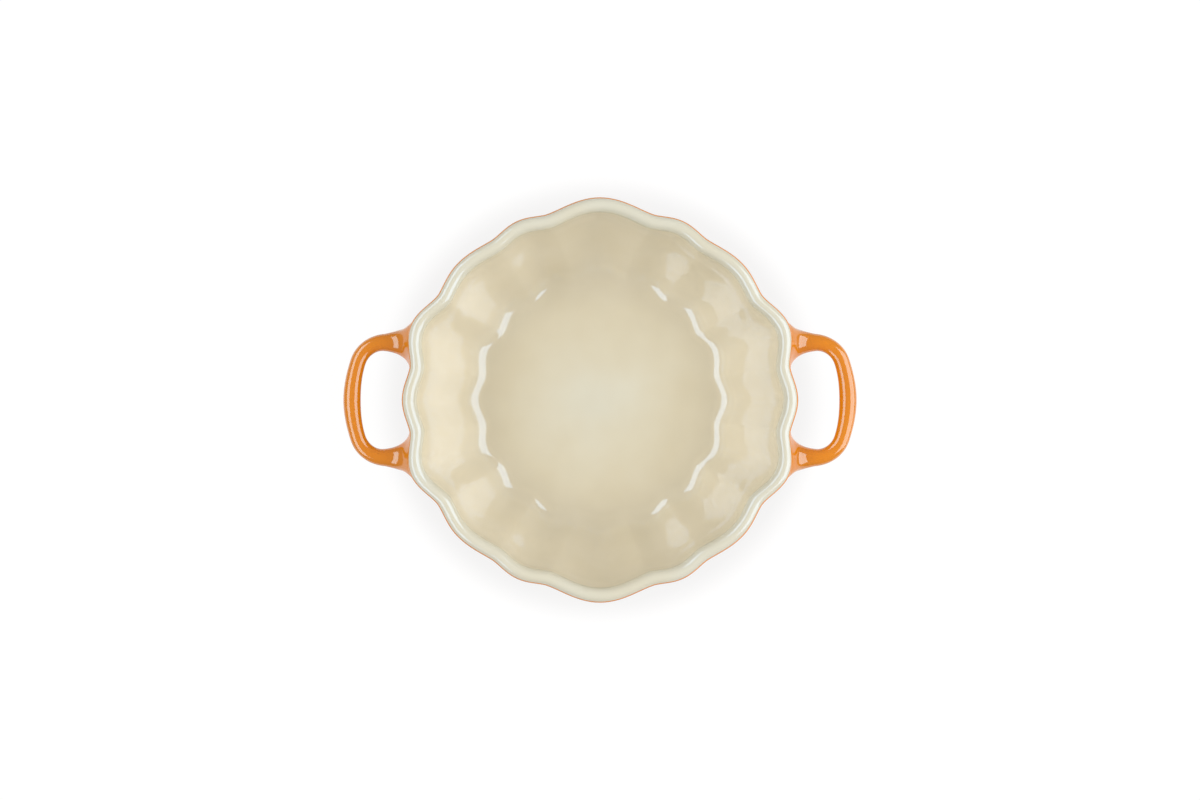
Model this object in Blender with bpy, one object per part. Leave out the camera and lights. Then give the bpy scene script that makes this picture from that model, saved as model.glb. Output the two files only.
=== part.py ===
"""Pumpkin casserole dish: a fluted stoneware bowl with two luted loop handles.

The dish stands on Z = 0 with its axis on Z and its handles along X. Sizes are in metres.
A section line runs over the glazed face, from the floor's edge up the inner wall, over the rim and
down the outer wall to the foot. The clay and both coats of glaze are spun from that one line at their
own depths, and one rib pattern presses them all.
"""

import math

import bmesh
import bpy
from mathutils import Matrix, Vector
from mathutils.bvhtree import BVHTree
from mathutils.geometry import interpolate_bezier

# Overall height and the line of the rim, measured in the grooves between the ribs
RIM_HEIGHT = 0.0822
RIM_RADIUS = 0.0955
RIM_WIDTH = 0.0072

# Inside of the bowl
INSIDE_DEPTH = 0.0722
FLOOR_RADIUS = 0.0574
FLOOR_FILLET = 0.0125
FLOOR_FILLET_LEAN = math.radians(57)

# Outside of the bowl
FLOOR_THICKNESS = 0.0070
UNDER_LEAN = math.radians(-126.7)
FOOT_OUTSET = 0.0086
FOOT_WIDTH = 0.0060
FOOT_ROUND = 0.0008

# Ribs of one quarter at the rim, from the handle's middle (0) to the front (90), in degrees
RIB_ANGLES = (0.0, 21.3, 43.5, 65.0, 90.0)
RIB_RISES = (0.0025, 0.0052, 0.0021, 0.0020, 0.0047)
GROOVE_ANGLES = (9.5, 33.0, 56.2, 73.7)
RIB_FULLNESS = 0.80

# Ribs lower down, where they are evenly spread
FLOOR_RIB_RISE = 0.0028
BELLY_RIB_RISE = 0.0045
RIB_FADE_HEIGHT = 0.0140

# Glaze
GLAZE_THICKNESS = 0.0005
SEAT_GAP = 0.0003
GLAZE_LINE_LEAN = math.radians(-52)
GLAZE_FOOT_MARGIN = 0.0015

# Handles: the bar and its corners, along the middle of the clay
HANDLE_STAND_OFF = 0.0282
HANDLE_DROP = 0.0160
HANDLE_TILT = math.radians(4)
BAR_RADIUS = 0.0620
BAR_HALF_LENGTH = 0.0190
CORNER_RADIUS = 0.0140
BAR_WIDTH = 0.0087
BAR_THICKNESS = 0.0068
CORNER_WIDTH = 0.0078
CORNER_THICKNESS = 0.0062
ARM_WIDTH = 0.0088
ARM_THICKNESS = 0.0070

# Roots, where the arms spread onto the wall
ROOT_ANGLE = math.radians(17)
ROOT_DROP = 0.0177
ROOT_SPREAD_WIDTH = 0.0330
ROOT_SPREAD_HEIGHT = 0.0220
ROOT_SPLAY = math.radians(3)
ROOT_SIDE_OPENING = math.radians(12)
ROOT_TOP_OPENING = math.radians(2)
ROOT_SIDE_MEETING = math.radians(22)
ROOT_TOP_MEETING = math.radians(40)
ROOT_SIDE_ARM_EASE = 0.0068
ROOT_TOP_ARM_EASE = 0.0060
ROOT_SIDE_WALL_EASE = 0.0070
ROOT_TOP_WALL_EASE = 0.0065
ROOT_SINK = 0.0004
ROOT_DEPTH = 0.0040

# Mesh steps
STEPS_PER_RIB = 6
FILLET_STEPS = 3
WALL_STEPS = 4
CROWN_STEPS = 4
UNDER_STEPS = 2
HANDLE_SIDES = 16
BAR_STEPS = 4
CORNER_STEPS = 5
ROOT_STEPS = 5

# Places that follow from the sizes above
FOOT_RADIUS = FLOOR_RADIUS + FOOT_OUTSET
HANDLE_REACH = RIM_RADIUS + HANDLE_STAND_OFF
HANDLE_HEIGHT = RIM_HEIGHT - HANDLE_DROP
ROOT_HEIGHT = RIM_HEIGHT - ROOT_DROP
QUARTER_RIBS = len(RIB_ANGLES) - 1
RIB_COUNT = 4 * QUARTER_RIBS
COLUMNS = RIB_COUNT * STEPS_PER_RIB
SHARP_ANGLE = math.radians(50)
MIRROR_WELD = 0.00001

# Finishes
CREAM = (0.770, 0.730, 0.580)
ORANGE = (0.745, 0.224, 0.026)
BARE_CLAY = (0.680, 0.570, 0.420)
GLAZE_ROUGHNESS = 0.12
CLAY_ROUGHNESS = 0.75

# Sides of the section line
INSIDE = "inside"
OUTSIDE = "outside"
PLAIN = "plain"


class Station:
    """A point of the section: radius, height, lean of the face's normal from upright, and its side."""

    def __init__(self, radius, height, lean, side=INSIDE):
        self.radius = radius
        self.height = height
        self.lean = lean
        self.side = side

    def at_depth(self, depth):
        """Radius and height of the point this deep below the glazed face."""
        radius = self.radius + depth * math.sin(self.lean)
        height = self.height - depth * math.cos(self.lean)
        return radius, height


def smooth_share(value):
    """Ease a value from 0 to 1."""
    value = min(max(value, 0.0), 1.0)
    return value * value * (3.0 - 2.0 * value)


def mix(low, high, share):
    return low + (high - low) * share


def arc(start, radius, lean, end_lean, steps):
    """Points along an arc that leaves start and turns from one lean to the other."""
    turn = end_lean - lean
    signed = math.copysign(radius, turn)
    points = []
    for step in range(1, steps + 1):
        here = lean + turn * step / steps
        x = start[0] + signed * (math.sin(here) - math.sin(lean))
        z = start[1] + signed * (math.cos(lean) - math.cos(here))
        points.append((x, z, here))
    return points


def chord_lean(start, end):
    """Mean lean of an arc between two points."""
    return math.atan2(end[1] - start[1], end[0] - start[0])


def chord_radius(start, end, turn):
    """Radius of the arc between two points that turns by this angle."""
    return math.dist(start, end) / abs(2.0 * math.sin(turn / 2.0))


def inside_stations():
    """The face from the floor's edge to the inner edge of the rim."""
    floor_edge = (FLOOR_RADIUS, RIM_HEIGHT - INSIDE_DEPTH)
    fillet = arc(floor_edge, FLOOR_FILLET, 0.0, FLOOR_FILLET_LEAN, FILLET_STEPS)
    foot_of_wall = fillet[-1][:2]
    rim_edge = (RIM_RADIUS - RIM_WIDTH, RIM_HEIGHT - RIM_WIDTH / 2)
    top_lean = 2.0 * chord_lean(foot_of_wall, rim_edge) - FLOOR_FILLET_LEAN
    wall_radius = chord_radius(foot_of_wall, rim_edge, top_lean - FLOOR_FILLET_LEAN)
    wall = arc(foot_of_wall, wall_radius, FLOOR_FILLET_LEAN, top_lean, WALL_STEPS)
    return [Station(*floor_edge, 0.0)] + [Station(*point) for point in fillet + wall]


def crown_station(lean):
    """A point of the rim's round crown."""
    half = RIM_WIDTH / 2
    radius = RIM_RADIUS - half - half * math.sin(lean)
    height = RIM_HEIGHT - half + half * math.cos(lean)
    return Station(radius, height, lean)


def crown_stations():
    """The face over the rim, by its top, to the glaze line."""
    half_way = CROWN_STEPS // 2
    leans = [mix(math.radians(90), 0.0, step / half_way) for step in range(1, half_way + 1)]
    leans += [mix(0.0, GLAZE_LINE_LEAN, step / half_way) for step in range(1, half_way + 1)]
    return [crown_station(lean) for lean in leans]


def under_centre():
    """Centre and radius of the arc under the wall, which follows the floor's fillet."""
    floor_top = RIM_HEIGHT - INSIDE_DEPTH
    return FLOOR_RADIUS, floor_top + FLOOR_FILLET, FLOOR_FILLET + FLOOR_THICKNESS


def under_lean(radius, depth=0.0):
    """Lean of the arc under the wall where it comes down to this radius."""
    centre_x, _, arc_radius = under_centre()
    return -math.pi + math.asin((radius - centre_x) / (arc_radius - depth))


def outside_stations():
    """The face from the outer edge of the rim to the end of the glaze above the foot."""
    centre_x, centre_z, under_radius = under_centre()
    rim_edge = (RIM_RADIUS, RIM_HEIGHT - RIM_WIDTH / 2)
    wall_end_x = centre_x - under_radius * math.sin(UNDER_LEAN)
    wall_end = (wall_end_x, centre_z + under_radius * math.cos(UNDER_LEAN))
    top_lean = 2.0 * chord_lean(rim_edge, wall_end) - UNDER_LEAN
    wall_radius = chord_radius(rim_edge, wall_end, UNDER_LEAN - top_lean)
    wall = arc(rim_edge, wall_radius, top_lean, UNDER_LEAN, WALL_STEPS)
    glaze_end = under_lean(FOOT_RADIUS + GLAZE_FOOT_MARGIN)
    under = arc(wall_end, under_radius, UNDER_LEAN, glaze_end, UNDER_STEPS)
    points = [(*rim_edge, top_lean)] + wall + under
    return [Station(*point, side=OUTSIDE) for point in points]


def quarter_value(values, index):
    """Value of a rib from the quarter's list, mirrored round the dish."""
    place = index % (2 * QUARTER_RIBS)
    return values[min(place, 2 * QUARTER_RIBS - place)]


def rib_angle(index):
    """Angle of a rib's crest at the rim, in degrees."""
    half_turns, place = divmod(index, 2 * QUARTER_RIBS)
    if place <= QUARTER_RIBS:
        return 180.0 * half_turns + RIB_ANGLES[place]
    return 180.0 * (half_turns + 1) - RIB_ANGLES[2 * QUARTER_RIBS - place]


def groove_angle(index):
    """Angle at the rim of the groove that follows a rib, in degrees."""
    half_turns, place = divmod(index, 2 * QUARTER_RIBS)
    if place < QUARTER_RIBS:
        return 180.0 * half_turns + GROOVE_ANGLES[place]
    return 180.0 * (half_turns + 1) - GROOVE_ANGLES[2 * QUARTER_RIBS - 1 - place]


def rib_bump(column):
    """Share of the crest's height that a column has: 1 on the rib and 0 in the groove."""
    way = (column % STEPS_PER_RIB) / STEPS_PER_RIB
    return abs(math.cos(math.pi * way)) ** (2.0 * RIB_FULLNESS)


def column_at_rim(column):
    """Angle at the rim, in degrees, and crest height of the rib that a column belongs to."""
    rib, step = divmod(column, STEPS_PER_RIB)
    way = step / STEPS_PER_RIB
    if way <= 0.5:
        angle = mix(rib_angle(rib), groove_angle(rib), 2.0 * way)
        return angle, quarter_value(RIB_RISES, rib)
    angle = mix(groove_angle(rib), rib_angle(rib + 1), 2.0 * way - 1.0)
    return angle, quarter_value(RIB_RISES, rib + 1)


def fluted_point(station, depth, column):
    """Place of one column's point on a ring of the section."""
    radius, height = station.at_depth(depth)
    angle = 360.0 * column / COLUMNS
    if station.side != PLAIN:
        share = min(max(station.height / (RIM_HEIGHT - RIM_WIDTH / 2), 0.0), 1.0)
        rim_angle, rim_crest = column_at_rim(column)
        angle = mix(angle, rim_angle, share)
        low_crest = BELLY_RIB_RISE if station.side == OUTSIDE else FLOOR_RIB_RISE
        rise = mix(low_crest, rim_crest, smooth_share(share)) * rib_bump(column)
        if station.side == OUTSIDE:
            rise *= smooth_share((station.height - foot_top()) / RIB_FADE_HEIGHT)
        radius += rise
    angle = math.radians(angle)
    return Vector((radius * math.cos(angle), radius * math.sin(angle), height))


def foot_height():
    """Height of the foot ring below the floor."""
    return RIM_HEIGHT - INSIDE_DEPTH - FLOOR_THICKNESS


def foot_top():
    """Height at which the clay wall meets the side of the foot ring."""
    _, centre_z, arc_radius = under_centre()
    depth = GLAZE_THICKNESS + SEAT_GAP
    return centre_z + (arc_radius - depth) * math.cos(under_lean(FOOT_RADIUS, depth))


def split_quads(mesh, place_on_line):
    """Split every quad along the same diagonal on each layer, so that the layers nest without touching."""
    for face in [face for face in mesh.faces if len(face.verts) == 4]:
        first = min(place_on_line(vert) for vert in face.verts)
        near = [vert for vert in face.verts if place_on_line(vert) == first]
        far = [vert for vert in face.verts if place_on_line(vert) != first]
        if len(near) == len(far):
            start = near[0] if near[0].co.cross(near[1].co).z > 0.0 else near[1]
            end = far[1] if far[0].co.cross(far[1].co).z > 0.0 else far[0]
            bmesh.utils.face_split(face, start, end)


def fluted_solid(section, closed):
    """Spin a section of (station, depth) round the axis and press its ribs, as one closed body."""
    mesh = bmesh.new()
    number_layer = mesh.verts.layers.int.new("section_point")
    verts = []
    for number, (station, depth) in enumerate(section):
        radius, height = station.at_depth(depth)
        vert = mesh.verts.new((radius, 0.0, height))
        vert[number_layer] = number
        verts.append(vert)
    ends = verts[1:] + verts[:1] if closed else verts[1:]
    edges = [mesh.edges.new(pair) for pair in zip(verts, ends)]
    full_turn = 2.0 * math.pi
    bmesh.ops.spin(
        mesh,
        geom=verts + edges,
        cent=(0.0, 0.0, 0.0),
        axis=(0.0, 0.0, 1.0),
        angle=full_turn,
        steps=COLUMNS,
        use_merge=True,
    )
    for vert in mesh.verts:
        column = round(math.atan2(vert.co.y, vert.co.x) / full_turn * COLUMNS) % COLUMNS
        station, depth = section[vert[number_layer]]
        vert.co = fluted_point(station, depth, column)
    line = {}
    for station, _ in section:
        line.setdefault(station, len(line))
    split_quads(mesh, lambda vert: line[section[vert[number_layer]][0]])
    if not closed:
        bmesh.ops.holes_fill(mesh, edges=[edge for edge in mesh.edges if edge.is_boundary], sides=0)
    bmesh.ops.recalc_face_normals(mesh, faces=mesh.faces)
    return mesh


def finished_object(name, mesh, material):
    """Turn a bmesh into a smooth-shaded object with its material."""
    data = bpy.data.meshes.new(name)
    mesh.to_mesh(data)
    mesh.free()
    data.shade_smooth()
    data.set_sharp_from_angle(angle=SHARP_ANGLE)
    data.materials.append(material)
    made = bpy.data.objects.new(name, data)
    bpy.context.scene.collection.objects.link(made)
    return made


def make_material(name, colour, roughness):
    material = bpy.data.materials.new(name)
    material.use_nodes = True
    shader = material.node_tree.nodes["Principled BSDF"]
    shader.inputs["Base Color"].default_value = (*colour, 1.0)
    shader.inputs["Roughness"].default_value = roughness
    shader.inputs["Metallic"].default_value = 0.0
    return material


def coat_section(face):
    """Section of a coat: its glazed face, then its back at the coat's thickness."""
    front = [(station, 0.0) for station in face]
    return front + [(station, GLAZE_THICKNESS) for station in reversed(face)]


def make_cream_glaze(material):
    """The coat on the floor and the inner wall that wraps over the rim to the glaze line."""
    face = inside_stations() + crown_stations()
    mesh = fluted_solid(coat_section(face), closed=False)
    return finished_object("cream_glaze", mesh, material)


def make_orange_glaze(material):
    """The coat on the outer wall, from the glaze line on the rim down to the foot."""
    line_gap = 2.0 * SEAT_GAP / RIM_WIDTH
    face = [crown_station(GLAZE_LINE_LEAN - line_gap)] + outside_stations()
    mesh = fluted_solid(coat_section(face), closed=True)
    return finished_object("orange_glaze", mesh, material)


def make_stoneware_body(material):
    """The clay under both coats, with the bare foot ring and the recess inside it."""
    depth = GLAZE_THICKNESS + SEAT_GAP
    face = inside_stations() + crown_stations() + outside_stations()
    section = [(station, depth) for station in face]
    inner_radius = FOOT_RADIUS - FOOT_WIDTH
    outline = (
        (FOOT_RADIUS, foot_top()),
        (FOOT_RADIUS, FOOT_ROUND),
        (FOOT_RADIUS - FOOT_ROUND, 0.0),
        (inner_radius + FOOT_ROUND, 0.0),
        (inner_radius, FOOT_ROUND),
        (inner_radius, foot_height()),
    )
    section += [(Station(radius, height, 0.0, PLAIN), 0.0) for radius, height in outline]
    return finished_object("stoneware_body", fluted_solid(section, closed=False), material)


def make_base_glaze(material):
    """The disc of orange glaze in the recess inside the foot ring."""
    radius = FOOT_RADIUS - FOOT_WIDTH - 2.0 * SEAT_GAP
    top = Station(radius, foot_height() - SEAT_GAP, 0.0, PLAIN)
    mesh = fluted_solid([(top, 0.0), (top, GLAZE_THICKNESS)], closed=False)
    return finished_object("base_glaze", mesh, material)


def make_wall_cutter():
    """The outer wall grown by the seat gap, which shapes the handles' roots."""
    section = [(station, -SEAT_GAP) for station in outside_stations()]
    mesh = fluted_solid(section, closed=False)
    data = bpy.data.meshes.new("wall_cutter")
    mesh.to_mesh(data)
    mesh.free()
    cutter = bpy.data.objects.new("wall_cutter", data)
    bpy.context.scene.collection.objects.link(cutter)
    cutter.hide_render = True
    cutter.display_type = "WIRE"
    return cutter


def oval(centre, across, width, thickness):
    """Points of an oval section round the loop's middle line."""
    points = []
    for side in range(HANDLE_SIDES):
        angle = 2.0 * math.pi * side / HANDLE_SIDES
        upright = Vector((0.0, 0.0, thickness / 2 * math.sin(angle)))
        points.append(centre + across * (width / 2 * math.cos(angle)) + upright)
    return points


def loop_sections():
    """Sections of half a loop, from the middle of the bar round the corner to the end of the arm."""
    bar_turn = math.asin(BAR_HALF_LENGTH / BAR_RADIUS)
    bar_x = HANDLE_REACH - BAR_RADIUS
    corner_x = bar_x + (BAR_RADIUS - CORNER_RADIUS) * math.cos(bar_turn)
    corner_y = (BAR_RADIUS - CORNER_RADIUS) * math.sin(bar_turn)
    sections = []
    for step in range(BAR_STEPS + 1):
        share = step / BAR_STEPS
        across = Vector((math.cos(bar_turn * share), math.sin(bar_turn * share), 0.0))
        width = mix(BAR_WIDTH, CORNER_WIDTH, smooth_share(share))
        thickness = mix(BAR_THICKNESS, CORNER_THICKNESS, smooth_share(share))
        sections.append(oval(Vector((bar_x, 0.0, 0.0)) + across * BAR_RADIUS, across, width, thickness))
    for step in range(1, CORNER_STEPS + 1):
        share = step / CORNER_STEPS
        turn = mix(bar_turn, math.pi / 2, share)
        across = Vector((math.cos(turn), math.sin(turn), 0.0))
        width = mix(CORNER_WIDTH, ARM_WIDTH, share * share)
        thickness = mix(CORNER_THICKNESS, ARM_THICKNESS, share * share)
        centre = Vector((corner_x, corner_y, 0.0)) + across * CORNER_RADIUS
        sections.append(oval(centre, across, width, thickness))
    pivot = Vector((corner_x, 0.0, 0.0))
    lift = Matrix.Translation(pivot + Vector((0.0, 0.0, HANDLE_HEIGHT)))
    tilt = lift @ Matrix.Rotation(-HANDLE_TILT, 4, "Y") @ Matrix.Translation(-pivot)
    return [[tilt @ point for point in section] for section in sections]


def wall_point(wall, angle, height):
    """Point of the outer wall at an angle round the dish, and the direction out of the wall there."""
    out = Vector((math.cos(angle), math.sin(angle), 0.0))
    return wall.ray_cast(Vector((0.0, 0.0, height)), out)[0], out


def root_sections(wall, arm):
    """Sections that spread from the end of the arm onto the fluted wall, then run into it."""
    arm_centre = sum(arm, Vector()) / len(arm)
    inward = Vector((-math.cos(HANDLE_TILT), math.sin(ROOT_SPLAY), -math.sin(HANDLE_TILT)))
    root_centre, _ = wall_point(wall, ROOT_ANGLE, ROOT_HEIGHT)
    curves = []
    for side, start in enumerate(arm):
        around = 2.0 * math.pi * side / HANDLE_SIDES
        angle = ROOT_ANGLE + ROOT_SPREAD_WIDTH / 2 * math.cos(around) / RIM_RADIUS
        height = ROOT_HEIGHT + ROOT_SPREAD_HEIGHT / 2 * math.sin(around)
        surface, out = wall_point(wall, angle, height)
        upright = math.sin(around) ** 2
        opening = mix(ROOT_SIDE_OPENING, ROOT_TOP_OPENING, upright)
        meeting = mix(ROOT_SIDE_MEETING, ROOT_TOP_MEETING, upright)
        leave = inward + (start - arm_centre).normalized() * math.tan(opening)
        spread = surface - root_centre
        spread = (spread - out * spread.dot(out)).normalized()
        arrive = out * math.sin(meeting) - spread * math.cos(meeting)
        end = surface - out * ROOT_SINK
        curve = interpolate_bezier(
            start,
            start + leave * mix(ROOT_SIDE_ARM_EASE, ROOT_TOP_ARM_EASE, upright),
            end + arrive * mix(ROOT_SIDE_WALL_EASE, ROOT_TOP_WALL_EASE, upright),
            end,
            ROOT_STEPS + 1,
        )
        curves.append(curve[1:] + [end - out * ROOT_DEPTH])
    return [list(section) for section in zip(*curves)]


def skin(sections):
    """Skin over a row of sections, each extruded from the one before it."""
    mesh = bmesh.new()
    side_layer = mesh.verts.layers.int.new("side")
    bmesh.ops.create_circle(mesh, cap_ends=False, segments=HANDLE_SIDES, radius=1.0)
    for vert in mesh.verts:
        turn = math.atan2(vert.co.y, vert.co.x) / (2.0 * math.pi)
        vert[side_layer] = round(turn * HANDLE_SIDES) % HANDLE_SIDES
        vert.co = sections[0][vert[side_layer]]
    edges = mesh.edges[:]
    for section in sections[1:]:
        grown = bmesh.ops.extrude_edge_only(mesh, edges=edges)["geom"]
        edges = [item for item in grown if isinstance(item, bmesh.types.BMEdge) and item.is_boundary]
        for vert in [item for item in grown if isinstance(item, bmesh.types.BMVert)]:
            vert.co = section[vert[side_layer]]
    return mesh


def make_handle(name, turn, cutter, material):
    """One loop handle: an oval bar with spread roots, cut to the fluted wall that it is luted to."""
    wall = BVHTree.FromPolygons([vert.co for vert in cutter.data.vertices],
                                [face.vertices for face in cutter.data.polygons])
    loop = loop_sections()
    mesh = skin(loop + root_sections(wall, loop[-1]))
    half = mesh.verts[:] + mesh.edges[:] + mesh.faces[:]
    bmesh.ops.mirror(mesh, geom=half, axis="Y", merge_dist=MIRROR_WELD)
    bmesh.ops.holes_fill(mesh, edges=[edge for edge in mesh.edges if edge.is_boundary], sides=0)
    bmesh.ops.recalc_face_normals(mesh, faces=mesh.faces)
    bmesh.ops.rotate(mesh, verts=mesh.verts, matrix=Matrix.Rotation(turn, 3, "Z"))
    handle = finished_object(name, mesh, material)
    cut = handle.modifiers.new("cut_to_wall", "BOOLEAN")
    cut.operation = "DIFFERENCE"
    cut.solver = "EXACT"
    cut.object = cutter
    return handle


def main():
    for old in list(bpy.data.objects):
        bpy.data.objects.remove(old, do_unlink=True)
    cream = make_material("cream_glaze", CREAM, GLAZE_ROUGHNESS)
    orange = make_material("orange_glaze", ORANGE, GLAZE_ROUGHNESS)
    clay = make_material("bare_stoneware", BARE_CLAY, CLAY_ROUGHNESS)
    cutter = make_wall_cutter()
    pieces = [
        make_stoneware_body(clay),
        make_cream_glaze(cream),
        make_orange_glaze(orange),
        make_base_glaze(orange),
        make_handle("left_handle", math.pi, cutter, orange),
        make_handle("right_handle", 0.0, cutter, orange),
    ]
    dish = bpy.data.objects.new("casserole_dish", None)
    bpy.context.scene.collection.objects.link(dish)
    for piece in pieces:
        piece.parent = dish


main()
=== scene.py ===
"""Looks of the fluted casserole dish: its glazes, its clay, its handles, and the studio that it is shown in.

The dish stands on Z = 0 with its axis on Z and its handles along X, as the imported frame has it. Sizes are in
metres. One section line runs over the glazed face, from the middle of the floor up the inner wall, over the
rim and down the outer wall to the foot. The clay and both coats of glaze are spun from that line at their own
depths, and one rib pattern presses them all.
"""

import logging
import math
from dataclasses import dataclass, field, replace
from enum import Enum
from typing import Any, Optional, Sequence

import bmesh
import bpy
from mathutils import Matrix, Vector
from mathutils.bvhtree import BVHTree
from mathutils.geometry import interpolate_bezier

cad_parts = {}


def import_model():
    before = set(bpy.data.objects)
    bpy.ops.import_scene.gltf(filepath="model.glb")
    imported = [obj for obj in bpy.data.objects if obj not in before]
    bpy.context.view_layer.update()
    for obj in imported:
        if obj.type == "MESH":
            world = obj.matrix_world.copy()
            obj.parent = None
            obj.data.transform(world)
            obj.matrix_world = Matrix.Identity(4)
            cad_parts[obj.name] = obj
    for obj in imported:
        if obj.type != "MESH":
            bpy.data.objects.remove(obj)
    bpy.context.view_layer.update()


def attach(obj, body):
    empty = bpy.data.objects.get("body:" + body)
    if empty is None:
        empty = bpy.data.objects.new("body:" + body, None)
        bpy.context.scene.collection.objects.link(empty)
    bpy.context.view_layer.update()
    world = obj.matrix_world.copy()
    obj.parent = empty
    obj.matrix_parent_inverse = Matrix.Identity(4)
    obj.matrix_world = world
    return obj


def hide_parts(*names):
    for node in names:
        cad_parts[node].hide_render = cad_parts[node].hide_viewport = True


LOG = logging.getLogger("casserole_dish")
ROOT_BODY = "root"
MILLIMETRE = 0.001
FULL_TURN = 2.0 * math.pi
UP = Vector((0.0, 0.0, 1.0))
# Faces that meet at more than this angle meet in a sharp edge
SHARP_ANGLE = math.radians(40)
# The halves of a mirrored mesh join where they lie this close
JOIN_DISTANCE = 0.01 * MILLIMETRE
# Vertex attribute: the way from the glaze line, or on a handle from the wall, in millimetres
WAY_ATTRIBUTE = "from_line_mm"
# Watts that give one square metre of an area lamp a radiance of one
WATTS_PER_RADIANCE = math.pi

Colour = tuple[float, float, float, float]


class Side(Enum):
    """Where a point of the section lies, which says how its ribs are pressed."""

    INSIDE = "inside"
    OUTSIDE = "outside"
    PLAIN = "plain"


class Slot(Enum):
    """Material slots of the record."""

    CREAM = "cream_glaze"
    ORANGE = "orange_glaze"
    CLAY = "bare_stoneware"


def mix(low: float, high: float, share: float) -> float:
    """Return the value this share of the way from low to high."""
    return low + (high - low) * share


def mix_pair(low: tuple[float, float], high: tuple[float, float], share: float) -> tuple[float, float]:
    """Return the pair of values this share of the way from one pair to another."""
    return mix(low[0], high[0], share), mix(low[1], high[1], share)


def smooth_share(value: float) -> float:
    """Ease a value from 0 to 1, level at both ends."""
    value = min(max(value, 0.0), 1.0)
    return value * value * (3.0 - 2.0 * value)


def linear_colour(code: str) -> Colour:
    """Turn an sRGB colour to linear.

    Args:
        code: The colour as six hex digits, such as "E4DCC2".

    Returns:
        Red, green, blue and alpha, linear.
    """
    channels = []
    for start in (0, 2, 4):
        value = int(code[start:start + 2], 16) / 255.0
        channels.append(value / 12.92 if value <= 0.04045 else ((value + 0.055) / 1.055) ** 2.4)
    return (*channels, 1.0)


def per_millimetre(size: float) -> float:
    """Return the scale that makes a pattern's features this many millimetres wide."""
    return 1.0 / (size * MILLIMETRE)


def add_node(
    tree: bpy.types.NodeTree,
    kind: str,
    settings: Optional[dict[Any, Any]] = None,
    links: Optional[dict[Any, bpy.types.NodeSocket]] = None,
) -> bpy.types.Node:
    """Add a node with its settings and its links.

    Args:
        tree: The node tree that the node joins.
        kind: Blender's name for the kind of node.
        settings: Values by the name or number of an input, or by the name of a property.
        links: Sockets that feed the node, by the name or number of its input.

    Returns:
        The new node.
    """
    made = tree.nodes.new(kind)
    for name, value in (settings or {}).items():
        if isinstance(name, int) or name in made.inputs:
            made.inputs[name].default_value = value
        else:
            setattr(made, name, value)
    for name, socket in (links or {}).items():
        tree.links.new(socket, made.inputs[name])
    return made


def empty_material(name: str) -> bpy.types.Material:
    """Return a new material whose node tree is empty."""
    material = bpy.data.materials.new(name)
    material.use_nodes = True
    material.node_tree.nodes.clear()
    return material


def finished_piece(name: str, mesh: bmesh.types.BMesh, material: bpy.types.Material) -> bpy.types.Object:
    """Turn a bmesh into a smooth-shaded object at the origin.

    Args:
        name: The piece's name.
        mesh: Its mesh, which is freed.
        material: Its material.

    Returns:
        The new object.
    """
    data = bpy.data.meshes.new(name)
    mesh.to_mesh(data)
    mesh.free()
    data.shade_smooth()
    data.set_sharp_from_angle(angle=SHARP_ANGLE)
    data.materials.append(material)
    piece = bpy.data.objects.new(name, data)
    bpy.context.scene.collection.objects.link(piece)
    return piece


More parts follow.
